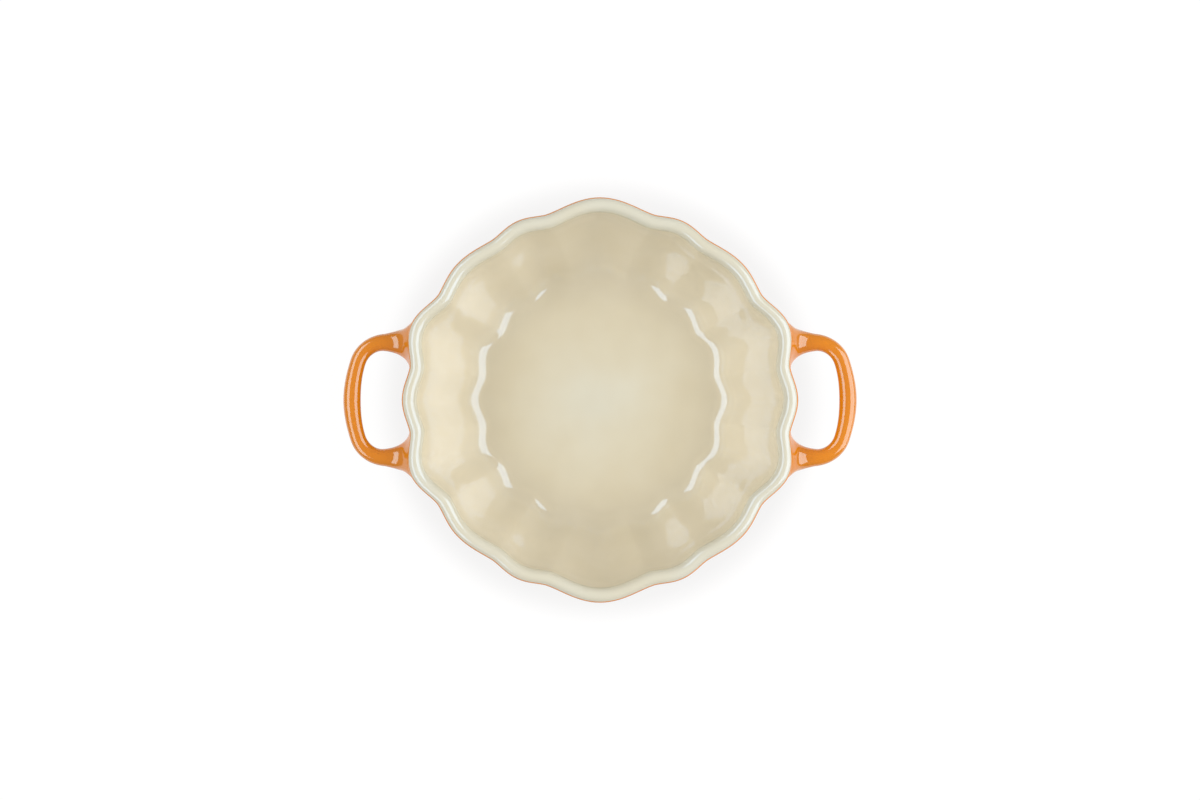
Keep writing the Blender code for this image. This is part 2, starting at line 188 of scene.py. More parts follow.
@dataclass(frozen=True)
class GlossGlaze:
    """A fired, glossy stoneware glaze: opaque colour under a clear, slightly wavy glass surface.

    The colour changes with the way from the glaze line. On the cream glaze it is darker over the first 0.6 mm
    from the line, and past that the tones are painted light and shade: greyer and darker over the rim than
    down the wall, lighter and warmer down the wall and in the corner of the floor, standing in for light
    bounced round the bowl, and paler again on the middle of the floor, standing in for light from above. The
    colour also drifts softly over a few centimetres. The glass surface is smooth but never flat: it rolls over
    about a centimetre, and has a fine skin of pits. What it mirrors looks a little cooler than the colour
    below it.
    Where the glaze was laid on thick, a layer of clear glass stands over the colour and makes what it mirrors
    crisp.

    Attributes:
        name: The material's name.
        tones: Colours by the way from the glaze line, in millimetres.
        deep_colour: Colour where the glaze pooled.
        gloss_tint: Colour that the surface gives to what it mirrors.
        roughness: Roughness of the surface.
        ior: Refractive index of the surface.
        clear_coat: How much clear glass lies over the colour, by the same way as the tones.
        ramp_end_mm: Way from the glaze line at which both ramps end.
        drift_mm: Width of the pools.
        drift_band: Values of the noise between which a pool fades in.
        drift_share: How much of the deep colour a pool shows.
        roll_mm: Width of the waves in the surface.
        roll_height_mm: Height of the waves.
        skin_mm: Width of the pits, drawn coarser than real ones so that they show.
        skin_height_mm: Depth of the pits.
    """

    name: str
    tones: tuple[tuple[float, str], ...]
    deep_colour: str
    gloss_tint: str
    roughness: float
    ior: float
    clear_coat: tuple[tuple[float, float], ...] = ()
    ramp_end_mm: float = 120.0
    drift_mm: float = 26.0
    drift_band: tuple[float, float] = (0.35, 0.75)
    drift_share: float = 0.30
    roll_mm: float = 11.0
    roll_height_mm: float = 0.05
    skin_mm: float = 1.1
    skin_height_mm: float = 0.001

    def by_way(self, tree: bpy.types.NodeTree, stops: Sequence[tuple[float, Colour]]) -> bpy.types.NodeSocket:
        """Run through some colours along the way that the mesh carries.

        Args:
            tree: The material's node tree.
            stops: The way, in millimetres, and the colour of each stop, in order.

        Returns:
            The socket that gives the colour.
        """
        way = add_node(tree, "ShaderNodeAttribute", {"attribute_name": WAY_ATTRIBUTE})
        share = add_node(
            tree, "ShaderNodeMapRange", {"From Max": self.ramp_end_mm}, {"Value": way.outputs["Fac"]}
        )
        ramp = add_node(tree, "ShaderNodeValToRGB", links={"Fac": share.outputs["Result"]})
        elements = ramp.color_ramp.elements
        for _ in stops[2:]:
            elements.new(1.0)
        for element, (way_mm, colour) in zip(elements, stops):
            element.position = way_mm / self.ramp_end_mm
            element.color = colour
        return ramp.outputs["Color"]

    def material(self) -> bpy.types.Material:
        """Build the glaze's material."""
        material = empty_material(self.name)
        tree = material.node_tree
        coords = add_node(tree, "ShaderNodeTexCoord").outputs["Object"]
        drift = add_node(
            tree,
            "ShaderNodeTexNoise",
            {"Scale": per_millimetre(self.drift_mm), "Detail": 2.0, "Roughness": 0.45},
            {"Vector": coords},
        )
        pooled = add_node(
            tree,
            "ShaderNodeMapRange",
            {"From Min": self.drift_band[0], "From Max": self.drift_band[1], "To Max": self.drift_share},
            {"Value": drift.outputs["Fac"]},
        )
        tones = self.by_way(tree, [(way_mm, linear_colour(code)) for way_mm, code in self.tones])
        coloured = add_node(
            tree,
            "ShaderNodeMix",
            {"data_type": "RGBA", 7: linear_colour(self.deep_colour)},
            {0: pooled.outputs["Result"], 6: tones},
        )
        relief: dict[str, bpy.types.NodeSocket] = {}
        for width_mm, height_mm in ((self.roll_mm, self.roll_height_mm), (self.skin_mm, self.skin_height_mm)):
            noise = add_node(
                tree,
                "ShaderNodeTexNoise",
                {"Scale": per_millimetre(width_mm), "Detail": 1.0},
                {"Vector": coords},
            )
            bump = add_node(
                tree,
                "ShaderNodeBump",
                {"Strength": 1.0, "Distance": height_mm * MILLIMETRE},
                {"Height": noise.outputs["Fac"], **relief},
            )
            relief = {"Normal": bump.outputs["Normal"]}
        links = {"Base Color": coloured.outputs[2], **relief}
        if self.clear_coat:
            weights = [(way_mm, (weight, weight, weight, 1.0)) for way_mm, weight in self.clear_coat]
            links["Coat Weight"] = self.by_way(tree, weights)
        shader = add_node(
            tree,
            "ShaderNodeBsdfPrincipled",
            {
                "Roughness": self.roughness,
                "IOR": self.ior,
                "Specular Tint": linear_colour(self.gloss_tint),
                "Metallic": 0.0,
            },
            links,
        )
        add_node(tree, "ShaderNodeOutputMaterial", links={"Surface": shader.outputs["BSDF"]})
        return material


@dataclass(frozen=True)
class BareStoneware:
    """Unglazed stoneware on the foot: a sandy, matt clay with dark iron specks and a fine tooth.

    Attributes:
        name: The material's name.
        colour: Colour of the clay.
        speck_colour: Colour of the specks.
        roughness: Roughness of the surface.
        ior: Refractive index of the surface.
        speck_mm: Width of the noise that the specks are picked from.
        speck_band: Values of that noise between which a speck fades in.
        tooth_mm: Width of the grains.
        tooth_height_mm: Height of the grains.
    """

    name: str = "bare_stoneware"
    colour: str = "D6C4A6"
    speck_colour: str = "8C6B4A"
    roughness: float = 0.78
    ior: float = 1.5
    speck_mm: float = 0.9
    speck_band: tuple[float, float] = (0.66, 0.74)
    tooth_mm: float = 0.45
    tooth_height_mm: float = 0.03

    def material(self) -> bpy.types.Material:
        """Build the clay's material."""
        material = empty_material(self.name)
        tree = material.node_tree
        coords = add_node(tree, "ShaderNodeTexCoord").outputs["Object"]
        specks = add_node(
            tree,
            "ShaderNodeTexNoise",
            {"Scale": per_millimetre(self.speck_mm), "Detail": 1.0},
            {"Vector": coords},
        )
        picked = add_node(
            tree,
            "ShaderNodeMapRange",
            {"From Min": self.speck_band[0], "From Max": self.speck_band[1]},
            {"Value": specks.outputs["Fac"]},
        )
        coloured = add_node(
            tree,
            "ShaderNodeMix",
            {"data_type": "RGBA", 6: linear_colour(self.colour), 7: linear_colour(self.speck_colour)},
            {0: picked.outputs["Result"]},
        )
        tooth = add_node(
            tree,
            "ShaderNodeTexNoise",
            {"Scale": per_millimetre(self.tooth_mm), "Detail": 3.0},
            {"Vector": coords},
        )
        rough = add_node(
            tree,
            "ShaderNodeBump",
            {"Strength": 1.0, "Distance": self.tooth_height_mm * MILLIMETRE},
            {"Height": tooth.outputs["Fac"]},
        )
        shader = add_node(
            tree,
            "ShaderNodeBsdfPrincipled",
            {"Roughness": self.roughness, "IOR": self.ior, "Metallic": 0.0},
            {"Base Color": coloured.outputs[2], "Normal": rough.outputs["Normal"]},
        )
        add_node(tree, "ShaderNodeOutputMaterial", links={"Surface": shader.outputs["BSDF"]})
        return material


@dataclass(frozen=True)
class Station:
    """A point of the glazed face in the section.

    Attributes:
        radius: Way from the dish's axis.
        height: Height above the table.
        lean: Lean of the face's normal from upright, towards the axis when positive.
        side: Which side of the wall the point is on.
        press: How much of the ribs' rise it has.
    """

    radius: float
    height: float
    lean: float
    side: Side = Side.INSIDE
    press: float = 1.0

    def at_depth(self, depth: float) -> tuple[float, float]:
        """Return the radius and height of the point this deep below the glazed face."""
        return self.radius + depth * math.sin(self.lean), self.height - depth * math.cos(self.lean)


# A station, and a depth below it
SectionPoint = tuple[Station, float]


def arc(
    start: tuple[float, float], radius: float, lean: float, end_lean: float, steps: int
) -> list[tuple[float, float, float]]:
    """Walk along an arc of the section.

    Args:
        start: Radius and height where the arc starts.
        radius: The arc's own radius.
        lean: Lean of the face at its start.
        end_lean: Lean of the face at its end.
        steps: How many points to return.

    Returns:
        Radius, height and lean of each point after the start.
    """
    signed = math.copysign(radius, end_lean - lean)
    points = []
    for step in range(1, steps + 1):
        here = mix(lean, end_lean, step / steps)
        across = start[0] + signed * (math.sin(here) - math.sin(lean))
        up = start[1] + signed * (math.cos(lean) - math.cos(here))
        points.append((across, up, here))
    return points


def arc_between(start: tuple[float, float], end: tuple[float, float], lean: float) -> tuple[float, float]:
    """Find the arc that joins two points of the section.

    Args:
        start: Radius and height of its start.
        end: Radius and height of its end.
        lean: Lean of the face at one of the two.

    Returns:
        The arc's radius, and the lean of the face at the other point.
    """
    other_lean = 2.0 * math.atan2(end[1] - start[1], end[0] - start[0]) - lean
    return math.dist(start, end) / abs(2.0 * math.sin((other_lean - lean) / 2.0)), other_lean


@dataclass(frozen=True)
class RibPattern:
    """Sixteen ribs, given for one quarter of the rim from a handle's middle to the front.

    Attributes:
        crest_angles: Angles of the crests at the rim, in degrees.
        crest_rises: How far each crest stands out from the grooves at the rim.
        groove_angles: Angles of the grooves between the crests, in degrees.
        fullness: Half the power of the cosine that shapes a rib. A lower value makes a fuller rib.
        floor_rise: How far the evenly spaced ribs stand out at the floor's edge.
        belly_rise: The same for the outer wall, low down.
        fade_height: Height above the foot over which the outer ribs fade in.
        steps: Columns of points from a crest to the next.
    """

    crest_angles: tuple[float, ...] = (0.0, 21.3, 43.5, 65.0, 90.0)
    crest_rises: tuple[float, ...] = (0.0025, 0.0052, 0.0021, 0.0020, 0.0047)
    groove_angles: tuple[float, ...] = (9.5, 33.0, 56.2, 73.7)
    fullness: float = 0.80
    floor_rise: float = 0.0028
    belly_rise: float = 0.0045
    fade_height: float = 0.0140
    steps: int = 24

    @property
    def half(self) -> int:
        """Number of ribs in half a turn."""
        return 2 * (len(self.crest_angles) - 1)

    @property
    def columns(self) -> int:
        """Number of columns in a full turn."""
        return 2 * self.half * self.steps

    def crest_angle(self, rib: int) -> float:
        """Return the angle of a rib's crest at the rim, in degrees."""
        half_turns, place = divmod(rib, self.half)
        if place < len(self.crest_angles):
            return 180.0 * half_turns + self.crest_angles[place]
        return 180.0 * (half_turns + 1) - self.crest_angles[self.half - place]

    def groove_angle(self, rib: int) -> float:
        """Return the angle at the rim of the groove that follows a rib, in degrees."""
        half_turns, place = divmod(rib, self.half)
        if place < len(self.groove_angles):
            return 180.0 * half_turns + self.groove_angles[place]
        return 180.0 * (half_turns + 1) - self.groove_angles[self.half - 1 - place]

    def crest_rise(self, rib: int) -> float:
        """Return the height of a rib's crest at the rim."""
        place = rib % self.half
        return self.crest_rises[min(place, self.half - place)]

    def bump(self, column: int) -> float:
        """Return the share of the crest's height that a column has: 1 on the rib, 0 in the groove."""
        way = (column % self.steps) / self.steps
        return abs(math.cos(math.pi * way)) ** (2.0 * self.fullness)

    def at_rim(self, column: int) -> tuple[float, float]:
        """Return a column's angle at the rim, in degrees, and the crest height of its rib."""
        rib, step = divmod(column, self.steps)
        way = 2.0 * step / self.steps
        if way <= 1.0:
            return mix(self.crest_angle(rib), self.groove_angle(rib), way), self.crest_rise(rib)
        return mix(self.groove_angle(rib), self.crest_angle(rib + 1), way - 1.0), self.crest_rise(rib + 1)


@dataclass(frozen=True)
class DishSection:
    """The section of the dish, measured in the grooves between the ribs.

    Attributes:
        rim_height: Height of the rim's top.
        rim_radius: Radius of the rim's outer edge.
        rim_width: Width of the round rim.
        inside_depth: Depth of the floor below the rim.
        floor_radius: Radius of the flat floor.
        floor_fillet: Radius of the fillet between floor and wall.
        fillet_lean: Lean at which the fillet meets the wall.
        floor_thickness: Thickness of the floor.
        under_lean: Lean at which the outer wall meets the arc under it.
        foot_radius: Outer radius of the foot ring.
        foot_width: Width of the foot ring.
        glaze_thickness: Thickness of a coat.
        crown_lean: Lean at the inner edge of the rim.
        line_lean: Lean at the line where the two glazes meet.
        foot_margin: How far outside the foot ring the glaze ends.
        floor_rings: Radii of the floor's rings, as shares of its radius.
        fillet_steps: Points along the fillet.
        wall_steps: Points along either face of the wall.
        crown_steps: Points over the rim up to the glaze line.
        shoulder_steps: Points from the glaze line to the outer wall.
        under_steps: Points along the arc under the wall.
        ribs: The ribs that press the section.
    """

    rim_height: float = 0.0822
    rim_radius: float = 0.0955
    rim_width: float = 0.0072
    inside_depth: float = 0.0722
    floor_radius: float = 0.0574
    floor_fillet: float = 0.0125
    fillet_lean: float = math.radians(57)
    floor_thickness: float = 0.0070
    under_lean: float = math.radians(-126.7)
    foot_radius: float = 0.0660
    foot_width: float = 0.0060
    glaze_thickness: float = 0.0005
    crown_lean: float = math.radians(90)
    line_lean: float = math.radians(-52)
    foot_margin: float = 0.0015
    floor_rings: tuple[float, ...] = (0.08, 0.2, 0.35, 0.5, 0.65, 0.78, 0.88, 0.95, 0.985)
    fillet_steps: int = 12
    wall_steps: int = 26
    crown_steps: int = 26
    shoulder_steps: int = 7
    under_steps: int = 8
    ribs: RibPattern = field(default_factory=RibPattern)

    @property
    def floor_height(self) -> float:
        """Height of the floor's glazed face."""
        return self.rim_height - self.inside_depth

    @property
    def foot_height(self) -> float:
        """Height of the floor's underside inside the foot ring."""
        return self.floor_height - self.floor_thickness

    @property
    def under_centre(self) -> tuple[float, float]:
        """Centre of the arc under the wall, which follows the floor's fillet."""
        return self.floor_radius, self.floor_height + self.floor_fillet

    @property
    def under_radius(self) -> float:
        """Radius of the arc under the wall."""
        return self.floor_fillet + self.floor_thickness

    def under_lean_at(self, radius: float, depth: float = 0.0) -> float:
        """Return the lean of the arc under the wall where it comes down to this radius."""
        return -math.pi + math.asin((radius - self.under_centre[0]) / (self.under_radius - depth))

    def foot_top(self) -> float:
        """Return the height at which the clay wall meets the side of the foot ring."""
        lean = self.under_lean_at(self.foot_radius, self.glaze_thickness)
        return self.under_centre[1] + (self.under_radius - self.glaze_thickness) * math.cos(lean)

    def inside(self) -> list[Station]:
        """Return the face from the middle of the floor to the inner edge of the rim."""
        floor = [
            Station(self.floor_radius * share, self.floor_height, 0.0, Side.INSIDE, share * share)
            for share in self.floor_rings
        ]
        edge = (self.floor_radius, self.floor_height)
        fillet = arc(edge, self.floor_fillet, 0.0, self.fillet_lean, self.fillet_steps)
        start = fillet[-1][:2]
        end = (self.rim_radius - self.rim_width, self.rim_height - self.rim_width / 2)
        radius, top_lean = arc_between(start, end, self.fillet_lean)
        wall = arc(start, radius, self.fillet_lean, top_lean, self.wall_steps)
        return floor + [Station(*edge, 0.0)] + [Station(*point) for point in fillet + wall]

    def crown_station(self, lean: float) -> Station:
        """Return the point of the rim's round crown that leans this much."""
        half = self.rim_width / 2
        radius = self.rim_radius - half - half * math.sin(lean)
        return Station(radius, self.rim_height - half + half * math.cos(lean), lean)

    def crown(self, lean: float, end_lean: float, steps: int) -> list[Station]:
        """Return points over the crown after its start, from one lean to another."""
        return [self.crown_station(mix(lean, end_lean, step / steps)) for step in range(1, steps + 1)]

    def outside(self) -> list[Station]:
        """Return the face from the glaze line over the shoulder and down to the end of the glaze."""
        start = (self.rim_radius, self.rim_height - self.rim_width / 2)
        centre = self.under_centre
        end = (
            centre[0] - self.under_radius * math.sin(self.under_lean),
            centre[1] + self.under_radius * math.cos(self.under_lean),
        )
        radius, top_lean = arc_between(start, end, self.under_lean)
        wall = arc(start, radius, top_lean, self.under_lean, self.wall_steps)
        glaze_end = self.under_lean_at(self.foot_radius + self.foot_margin)
        under = arc(end, self.under_radius, self.under_lean, glaze_end, self.under_steps)
        shoulder = self.crown(self.line_lean, top_lean, self.shoulder_steps)
        return shoulder + [Station(*point, side=Side.OUTSIDE) for point in wall + under]

    def point(self, station: Station, depth: float, column: int) -> Vector:
        """Return the place of one column's point on a ring of the section.

        Args:
            station: The ring's station.
            depth: Depth of the ring below the glazed face.
            column: The column's number round the dish.

        Returns:
            The place, pressed by the ribs unless the station is plain.
        """
        radius, height = station.at_depth(depth)
        angle = 360.0 * column / self.ribs.columns
        if station.side is not Side.PLAIN:
            share = min(max(station.height / (self.rim_height - self.rim_width / 2), 0.0), 1.0)
            rim_angle, rim_rise = self.ribs.at_rim(column)
            angle = mix(angle, rim_angle, share)
            outside = station.side is Side.OUTSIDE
            low_rise = self.ribs.belly_rise if outside else self.ribs.floor_rise
            rise = mix(low_rise, rim_rise, smooth_share(share)) * self.ribs.bump(column) * station.press
            if outside:
                rise *= smooth_share((station.height - self.foot_top()) / self.ribs.fade_height)
            radius += rise
        angle = math.radians(angle)
        return Vector((radius * math.cos(angle), radius * math.sin(angle), height))

    def spin(self, points: list[SectionPoint], closed: bool, capped: bool = True) -> bmesh.types.BMesh:
        """Spin a row of section points round the axis and press the ribs.

        Args:
            points: Stations and their depths below the glazed face.
            closed: Whether the row closes on itself.
            capped: Whether the rings at the ends of an open row are filled.

        Returns:
            The mesh, whose vertices carry their point's number and their way from the glaze line.
        """
        mesh = bmesh.new()
        number = mesh.verts.layers.int.new("section_point")
        verts = []
        for index, (station, depth) in enumerate(points):
            radius, height = station.at_depth(depth)
            verts.append(mesh.verts.new((radius, 0.0, height)))
            verts[-1][number] = index
        ends = verts[1:] + verts[:1] if closed else verts[1:]
        edges = [mesh.edges.new(pair) for pair in zip(verts, ends)]
        bmesh.ops.spin(
            mesh,
            geom=verts + edges,
            cent=(0.0, 0.0, 0.0),
            axis=UP,
            angle=FULL_TURN,
            steps=self.ribs.columns,
            use_merge=True,
        )
        line = self.crown_station(self.line_lean)
        way = mesh.verts.layers.float.new(WAY_ATTRIBUTE)
        for vert in mesh.verts:
            turn = math.atan2(vert.co.y, vert.co.x) / FULL_TURN
            column = round(turn * self.ribs.columns) % self.ribs.columns
            station, depth = points[vert[number]]
            vert.co = self.point(station, depth, column)
            vert[way] = math.dist((line.radius, line.height), (station.radius, station.height)) / MILLIMETRE
        if not closed and capped:
            bmesh.ops.holes_fill(mesh, edges=[edge for edge in mesh.edges if edge.is_boundary], sides=0)
        bmesh.ops.recalc_face_normals(mesh, faces=mesh.faces)
        return mesh

    def outer_wall(self) -> BVHTree:
        """Return the outer glazed face as a tree that rays can be cast at."""
        mesh = self.spin([(station, 0.0) for station in self.outside()], closed=False, capped=False)
        tree = BVHTree.FromBMesh(mesh)
        mesh.free()
        return tree


def round_ring(mesh: bmesh.types.BMesh, points: tuple[int, ...], width: float, segments: int) -> None:
    """Round the ring edges that run through some points of the section.

    Args:
        mesh: A spun mesh.
        points: Numbers of the section points whose rings are rounded.
        width: Width of the rounding.
        segments: Number of its segments.
    """
    number = mesh.verts.layers.int["section_point"]
    edges = []
    for edge in mesh.edges:
        first, second = (vert[number] for vert in edge.verts)
        if first == second and first in points:
            edges.append(edge)
    bmesh.ops.bevel(
        mesh,
        geom=edges,
        offset=width,
        offset_type="OFFSET",
        affect="EDGES",
        segments=segments,
        profile=0.5,
        material=-1,
        clamp_overlap=True,
    )


@dataclass
class Bowl:
    """The pressed clay bowl under its coats of glaze, with the bare foot ring.

    Attributes:
        section: The section that all its pieces are spun from.
        coat_seat: Gap between the clay and the back of a coat.
        edge_round: Rounding of a coat's edge.
        edge_segments: Segments of that rounding.
        foot_round: Rounding of the foot ring.
        foot_segments: Segments of that rounding.
        disc_clearance: Gap between the base coat and the foot ring.
    """

    section: DishSection
    coat_seat: float = 0.00001
    edge_round: float = 0.00035
    edge_segments: int = 3
    foot_round: float = 0.0009
    foot_segments: int = 4
    disc_clearance: float = 0.0006

    def coat(self, face: list[Station]) -> list[SectionPoint]:
        """Return the section of a coat: its glazed face, then its back."""
        front = [(station, 0.0) for station in face]
        return front + [(station, self.section.glaze_thickness) for station in reversed(face)]

    def crown(self) -> list[Station]:
        """Return the face over the rim up to the glaze line."""
        return self.section.crown(self.section.crown_lean, self.section.line_lean, self.section.crown_steps)

    def cream_coat(self, material: bpy.types.Material) -> bpy.types.Object:
        """Build the coat on the floor, the inner wall and the rim."""
        face = self.section.inside() + self.crown()
        return finished_piece("cream_coat", self.section.spin(self.coat(face), closed=False), material)

    def orange_coat(self, material: bpy.types.Material) -> bpy.types.Object:
        """Build the coat on the outer wall, with a rounded edge above the foot."""
        face = [self.section.crown_station(self.section.line_lean)] + self.section.outside()
        mesh = self.section.spin(self.coat(face), closed=True)
        round_ring(mesh, (len(face) - 1,), self.edge_round, self.edge_segments)
        return finished_piece("orange_coat", mesh, material)

    def clay(self, material: bpy.types.Material) -> bpy.types.Object:
        """Build the clay under both coats, with its foot ring and the recess inside it."""
        section = self.section
        depth = section.glaze_thickness + self.coat_seat
        points = [(station, depth) for station in section.inside() + self.crown() + section.outside()]
        inner = section.foot_radius - section.foot_width
        corners = len(points)
        outline = (
            (section.foot_radius, section.foot_top()),
            (section.foot_radius, 0.0),
            (inner, 0.0),
            (inner, section.foot_height),
        )
        points += [(Station(radius, height, 0.0, Side.PLAIN), 0.0) for radius, height in outline]
        mesh = section.spin(points, closed=False)
        round_ring(mesh, (corners + 1, corners + 2), self.foot_round, self.foot_segments)
        return finished_piece("clay_body", mesh, material)

    def base_coat(self, material: bpy.types.Material) -> bpy.types.Object:
        """Build the disc of glaze in the recess inside the foot ring."""
        section = self.section
        radius = section.foot_radius - section.foot_width - self.disc_clearance
        top = Station(radius, section.foot_height - self.coat_seat, 0.0, Side.PLAIN)
        mesh = section.spin([(top, 0.0), (top, section.glaze_thickness)], closed=False)
        round_ring(mesh, (1,), self.edge_round, self.edge_segments)
        return finished_piece("base_coat", mesh, material)


@dataclass
class LoopHandle:
    """A loop of clay: a bowed bar, two round corners, and roots that spread onto the fluted wall.

    A size is a width in plan and a height. Where two values belong to the roots' curves, the first is for the
    curves at their sides and the second for those at their top and bottom.

    Attributes:
        section: The dish's section.
        wall: The outer wall's glazed face.
        reach: Way from the dish's axis to the middle of the bar.
        height: Height of the loop's middle line at its corners, round which it tilts.
        tilt: How far the loop tilts upwards.
        bar_radius: Radius of the bar's bow.
        bar_half_length: Half the bar's length.
        corner_radius: Radius of the corners.
        bar_size: Size of the bar's section in its middle.
        corner_size: Size of the section where the bar ends.
        arm_size: Size of the section where the arm ends.
        arm_swell: How late round the corner the section grows to the arm's.
        root_angle: Angle round the dish at which a root's middle stands.
        root_height: Height of a root's middle.
        spread: Width and height of a root on the wall.
        splay: How far an arm turns away from the other.
        opening: Angles at which the curves leave the arm.
        meeting: Angles at which they meet the wall.
        arm_ease: How far they keep the arm's direction.
        wall_ease: How far they keep the direction in which they meet the wall.
        sink: How deep the roots sit in the glaze.
        sides: Points round a section.
        bar_steps: Sections along half the bar.
        corner_steps: Sections round a corner.
        root_steps: Sections along a root.
        back_steps: Sections that close a root along the wall.
    """

    section: DishSection
    wall: BVHTree
    reach: float = 0.1237
    height: float = 0.0662
    tilt: float = math.radians(4)
    bar_radius: float = 0.0620
    bar_half_length: float = 0.0190
    corner_radius: float = 0.0140
    bar_size: tuple[float, float] = (0.0087, 0.0068)
    corner_size: tuple[float, float] = (0.0078, 0.0062)
    arm_size: tuple[float, float] = (0.0088, 0.0070)
    arm_swell: int = 4
    root_angle: float = math.radians(17)
    root_height: float = 0.0645
    spread: tuple[float, float] = (0.0335, 0.0220)
    splay: float = math.radians(3)
    opening: tuple[float, float] = (math.radians(9), math.radians(0))
    meeting: tuple[float, float] = (math.radians(4), math.radians(40))
    arm_ease: tuple[float, float] = (0.0080, 0.0060)
    wall_ease: tuple[float, float] = (0.0080, 0.0065)
    sink: float = 0.00006
    sides: int = 48
    bar_steps: int = 20
    corner_steps: int = 24
    root_steps: int = 22
    back_steps: int = 8

    def oval(self, centre: Vector, across: Vector, size: tuple[float, float]) -> list[Vector]:
        """Return the points of an oval section round the loop's middle line.

        Args:
            centre: Middle of the section.
            across: Direction of its width.
            size: Its width and height.
        """
        points = []
        for side in range(self.sides):
            angle = FULL_TURN * side / self.sides
            level = across * (size[0] / 2 * math.cos(angle))
            points.append(centre + level + UP * (size[1] / 2 * math.sin(angle)))
        return points

    def loop_sections(self) -> list[list[Vector]]:
        """Return the sections of half a loop, from the middle of the bar to the end of the arm."""
        turn = math.asin(self.bar_half_length / self.bar_radius)
        bar_x = self.reach - self.bar_radius
        reach = self.bar_radius - self.corner_radius
        corner = Vector((bar_x + reach * math.cos(turn), reach * math.sin(turn), 0.0))
        sections = []
        for step in range(self.bar_steps + 1):
            share = step / self.bar_steps
            across = Vector((math.cos(turn * share), math.sin(turn * share), 0.0))
            size = mix_pair(self.bar_size, self.corner_size, smooth_share(share))
            centre = Vector((bar_x, 0.0, 0.0)) + across * self.bar_radius
            sections.append(self.oval(centre, across, size))
        for step in range(1, self.corner_steps + 1):
            share = step / self.corner_steps
            angle = mix(turn, math.pi / 2, share)
            across = Vector((math.cos(angle), math.sin(angle), 0.0))
            size = mix_pair(self.corner_size, self.arm_size, share ** self.arm_swell)
            sections.append(self.oval(corner + across * self.corner_radius, across, size))
        pivot = Vector((corner.x, 0.0, 0.0))
        lift = Matrix.Translation(pivot + UP * self.height)
        tilt = lift @ Matrix.Rotation(-self.tilt, 4, "Y") @ Matrix.Translation(-pivot)
        return [[tilt @ point for point in section] for section in sections]

    def wall_point(self, angle: float, height: float) -> tuple[Vector, Vector]:
        """Return the point of the outer wall at an angle and height, and the direction out of it."""
        out = Vector((math.cos(angle), math.sin(angle), 0.0))
        return self.wall.ray_cast(UP * height, out)[0], out

    def root_curve(self, arm: list[Vector], side: int) -> list[Vector]:
        """Return the curve of a root that starts from one point of the arm's end.

        Args:
            arm: The section at the arm's end.
            side: The number of the point.

        Returns:
            Points after the start, over the root to the wall and then back along the wall to its middle.
        """
        start, centre = arm[side], sum(arm, Vector()) / len(arm)
        around = FULL_TURN * side / self.sides
        upright = math.sin(around) ** 2
        angle_off = self.spread[0] / 2 * math.cos(around) / self.section.rim_radius
        height_off = self.spread[1] / 2 * math.sin(around)
        surface, out = self.wall_point(self.root_angle + angle_off, self.root_height + height_off)

        inward = Vector((-math.cos(self.tilt), math.sin(self.splay), -math.sin(self.tilt)))
        leave = inward + (start - centre).normalized() * math.tan(mix(*self.opening, upright))
        spread = surface - self.wall_point(self.root_angle, self.root_height)[0]
        spread = (spread - out * spread.dot(out)).normalized()
        meeting = mix(*self.meeting, upright)
        arrive = out * math.sin(meeting) - spread * math.cos(meeting)
        end = surface - out * self.sink
        curve = interpolate_bezier(
            start,
            start + leave * mix(*self.arm_ease, upright),
            end + arrive * mix(*self.wall_ease, upright),
            end,
            self.root_steps + 1,
        )[1:]
        for step in range(1, self.back_steps + 1):
            share = 1.0 - step / (self.back_steps + 1)
            angle = self.root_angle + angle_off * share
            surface, out = self.wall_point(angle, self.root_height + height_off * share)
            curve.append(surface - out * self.sink)
        return curve

    def root_sections(self, arm: list[Vector]) -> list[list[Vector]]:
        """Return the sections that spread from the arm's end over the wall, then close along the wall."""
        curves = [self.root_curve(arm, side) for side in range(self.sides)]
        return [list(section) for section in zip(*curves)]

    def skin(self, sections: list[list[Vector]]) -> bmesh.types.BMesh:
        """Skin over a row of sections.

        Args:
            sections: The sections, each with its points in the same order.

        Returns:
            The open mesh, in which each section was extruded from the one before it.
        """
        mesh = bmesh.new()
        side_layer = mesh.verts.layers.int.new("side")
        bmesh.ops.create_circle(mesh, cap_ends=False, segments=self.sides, radius=1.0)
        for vert in mesh.verts:
            turn = math.atan2(vert.co.y, vert.co.x) / FULL_TURN
            vert[side_layer] = round(turn * self.sides) % self.sides
            vert.co = sections[0][vert[side_layer]]
        edges = mesh.edges[:]
        for section in sections[1:]:
            grown = bmesh.ops.extrude_edge_only(mesh, edges=edges)["geom"]
            edges = [item for item in grown if isinstance(item, bmesh.types.BMEdge) and item.is_boundary]
            for vert in [item for item in grown if isinstance(item, bmesh.types.BMVert)]:
                vert.co = section[vert[side_layer]]
        return mesh

    def build(self, name: str, turn: float, material: bpy.types.Material) -> bpy.types.Object:
        """Build one handle.

        Args:
            name: The piece's name.
            turn: Angle round the dish at which the handle stands.
            material: Its glaze.

        Returns:
            The handle, closed along the wall that it is luted to.
        """
        loop = self.loop_sections()
        mesh = self.skin(loop + self.root_sections(loop[-1]))
        half = mesh.verts[:] + mesh.edges[:] + mesh.faces[:]
        bmesh.ops.mirror(mesh, geom=half, axis="Y", merge_dist=JOIN_DISTANCE)
        bmesh.ops.holes_fill(mesh, edges=[edge for edge in mesh.edges if edge.is_boundary], sides=0)
        bmesh.ops.recalc_face_normals(mesh, faces=mesh.faces)
        way = mesh.verts.layers.float.new(WAY_ATTRIBUTE)
        for vert in mesh.verts:
            _, _, _, distance = self.wall.find_nearest(vert.co)
            vert[way] = distance / MILLIMETRE
        bmesh.ops.rotate(mesh, verts=mesh.verts, matrix=Matrix.Rotation(turn, 3, "Z"))
        return finished_piece(name, mesh, material)


